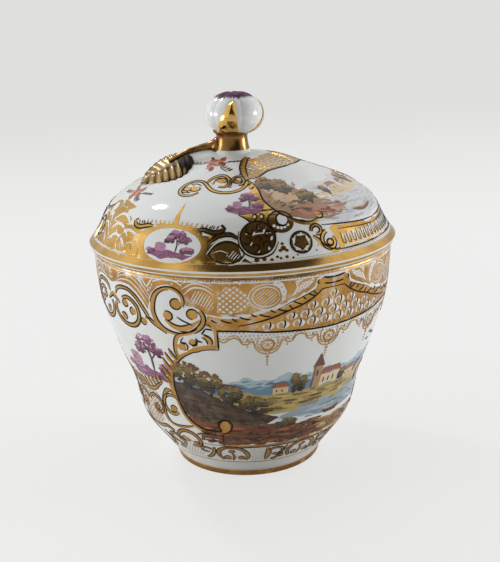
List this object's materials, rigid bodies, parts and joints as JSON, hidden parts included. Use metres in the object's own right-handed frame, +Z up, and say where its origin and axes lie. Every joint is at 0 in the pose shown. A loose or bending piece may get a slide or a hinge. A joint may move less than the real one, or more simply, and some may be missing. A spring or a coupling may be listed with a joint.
{
  "type": "covered chocolate cup",
  "caption": "Footed porcelain chocolate cup with a loose domed lid, a flower-bud knob on a twig with a leaf, gilt scrollwork and small painted scenes.",
  "frame": {"origin": "centre of the foot ring's resting face, on the table", "axes": "+Z up through the middle of the cup, -Y towards the viewer, -X towards the twig and leaf on the lid"},
  "size_m": [0.0838, 0.0838, 0.1027],
  "materials": {
    "porcelain": "clear glossy glaze over white porcelain",
    "porcelain_lid": "clear glossy glaze over white porcelain"
  },
  "bodies": {
    "root": {"cup": "porcelain", "lid": "porcelain_lid"}
  },
  "joints": []
}
